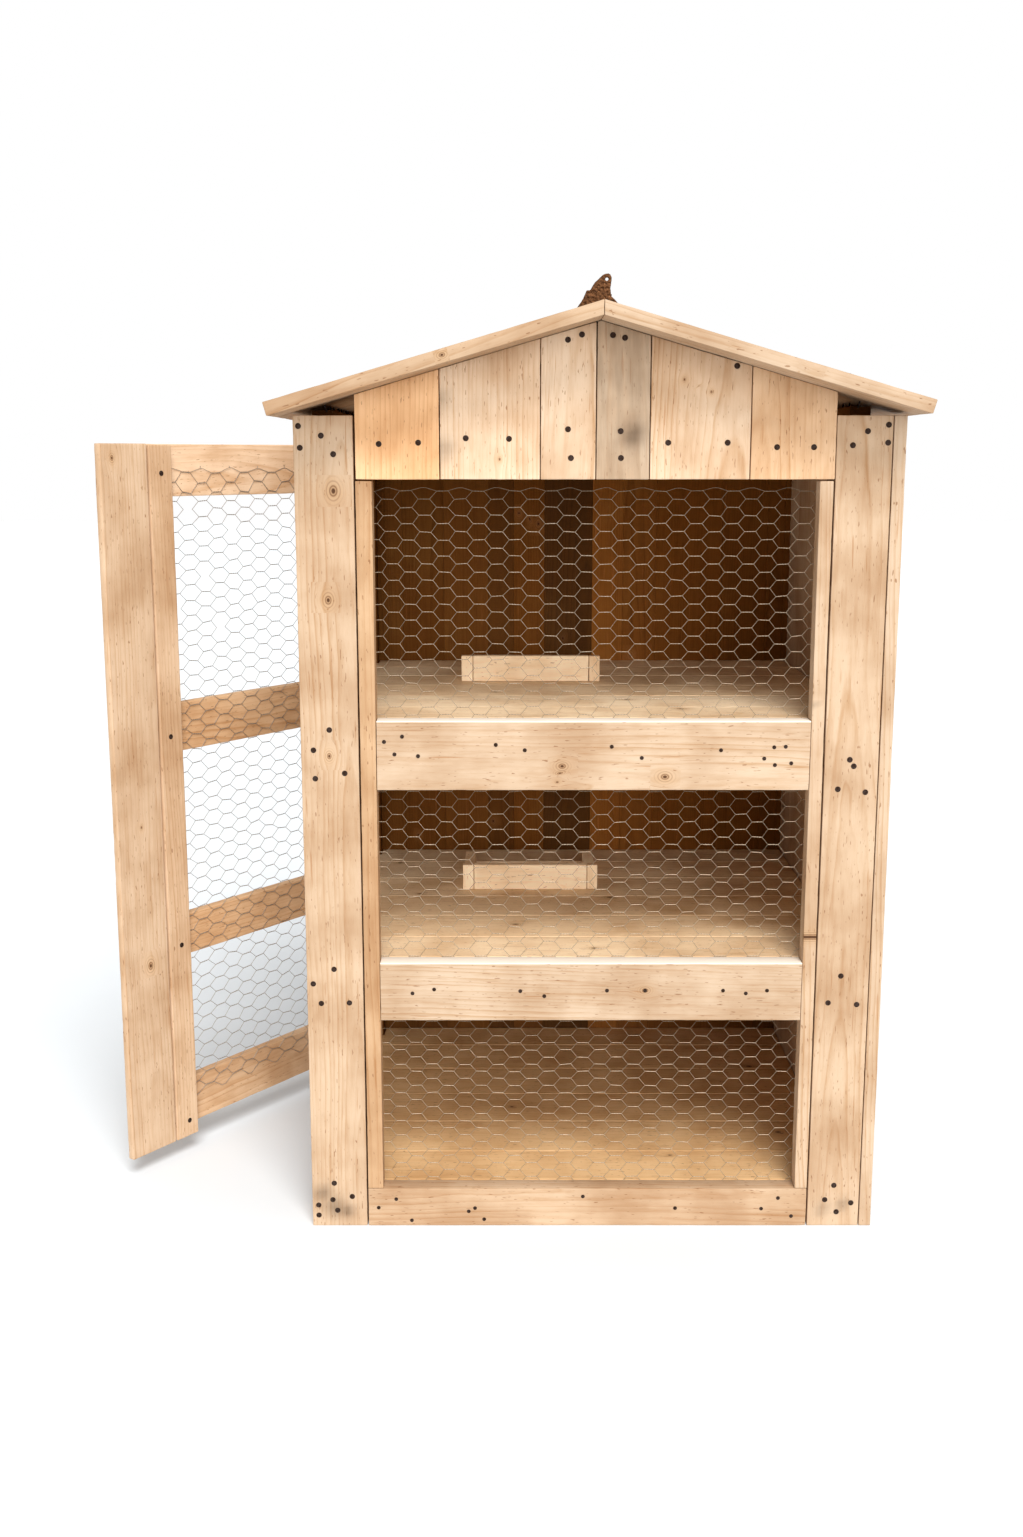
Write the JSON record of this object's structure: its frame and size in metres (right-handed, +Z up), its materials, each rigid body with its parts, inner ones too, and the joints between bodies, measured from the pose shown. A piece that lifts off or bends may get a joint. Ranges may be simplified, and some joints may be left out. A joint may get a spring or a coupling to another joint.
{
  "type": "rabbit hutch",
  "caption": "Three-tier wooden rabbit hutch with a pitched board roof, a hexagonal-netted front and a tall netted side door that stands open.",
  "frame": {"origin": "on the ground under the middle of the hutch's body, on the underside of the middle floor joist", "axes": "+X to the hutch's right seen from the front, +Y to its back, +Z up; the netted front faces -Y and the door is on the -X side"},
  "size_m": [1.3747, 1.0116, 1.61],
  "materials": {
    "pine": "raw planed pine",
    "pine_inside": "raw sawn pine, darker and weathered in places",
    "galvanised_wire": "dull galvanised wire",
    "nail_steel": "dark, slightly rusty nail heads",
    "zinc_steel": "dull zinc plating",
    "rusty_iron": "rusty wrought iron"
  },
  "bodies": {
    "hutch": {"back_top_rail": "pine_inside", "back_wall_boards": "pine_inside", "body_nails": "nail_steel", "bottom_rail": "pine", "floor_boards": "pine_inside", "floor_joists": "pine_inside", "front_left_board": "pine", "front_left_post": "pine_inside", "front_netting": "galvanised_wire", "front_right_board": "pine", "front_right_post": "pine_inside", "front_top_rail": "pine_inside", "gable_board_1": "pine", "gable_board_2": "pine", "gable_board_3": "pine", "gable_board_4": "pine", "gable_board_5": "pine", "gable_board_6": "pine", "hinge_frame_leaves": "zinc_steel", "hinge_frame_screws": "zinc_steel", "hinge_pins": "zinc_steel", "hinge_post": "pine_inside", "left_eave_rail": "pine_inside", "left_front_side_board": "pine", "left_inner_strip": "pine", "left_rear_side_board": "pine", "left_top_board": "pine", "lower_hatch_curb": "pine_inside", "lower_shelf_bearers": "pine_inside", "lower_shelf_boards": "pine_inside", "lower_shelf_fascia": "pine", "netting_staples": "galvanised_wire", "ridge_beam": "pine_inside", "ridge_finial": "rusty_iron", "right_eave_rail": "pine_inside", "right_front_corner_board": "pine", "right_inner_strip": "pine", "right_rear_corner_board": "pine", "right_wall_boards": "pine_inside", "right_wall_rails": "pine", "roof_boards_left": "pine", "roof_boards_right": "pine", "upper_hatch_curb": "pine_inside", "upper_shelf_bearers": "pine_inside", "upper_shelf_boards": "pine_inside", "upper_shelf_fascia": "pine"},
    "side_door": {"door_bottom_rail": "pine", "door_hinge_stile": "pine", "door_inner_stile": "pine", "door_leading_board": "pine", "door_lower_rail": "pine", "door_nails": "nail_steel", "door_netting": "galvanised_wire", "door_top_rail": "pine", "door_upper_rail": "pine", "hinge_door_leaves": "zinc_steel", "hinge_door_screws": "zinc_steel", "turn_button_screws": "zinc_steel"},
    "lower_button": {"turn_button_lower": "pine"},
    "upper_button": {"turn_button_upper": "pine"}
  },
  "joints": [
    {"name": "door_hinge", "type": "hinge", "parent": "hutch", "child": "side_door", "pos_m": [-0.496, 0.3285, 0.7], "axis": [0, 0, -1], "range_deg": [-36.4, 130]},
    {"name": "lower_button_turn", "type": "hinge", "parent": "side_door", "child": "lower_button", "pos_m": [-0.84525, -0.14268, 0.431], "axis": [-0.8049, 0.5934, 0], "range_deg": [0, 90]},
    {"name": "upper_button_turn", "type": "hinge", "parent": "side_door", "child": "upper_button", "pos_m": [-0.84525, -0.14268, 1.303], "axis": [-0.8049, 0.5934, 0], "range_deg": [0, 90]}
  ]
}
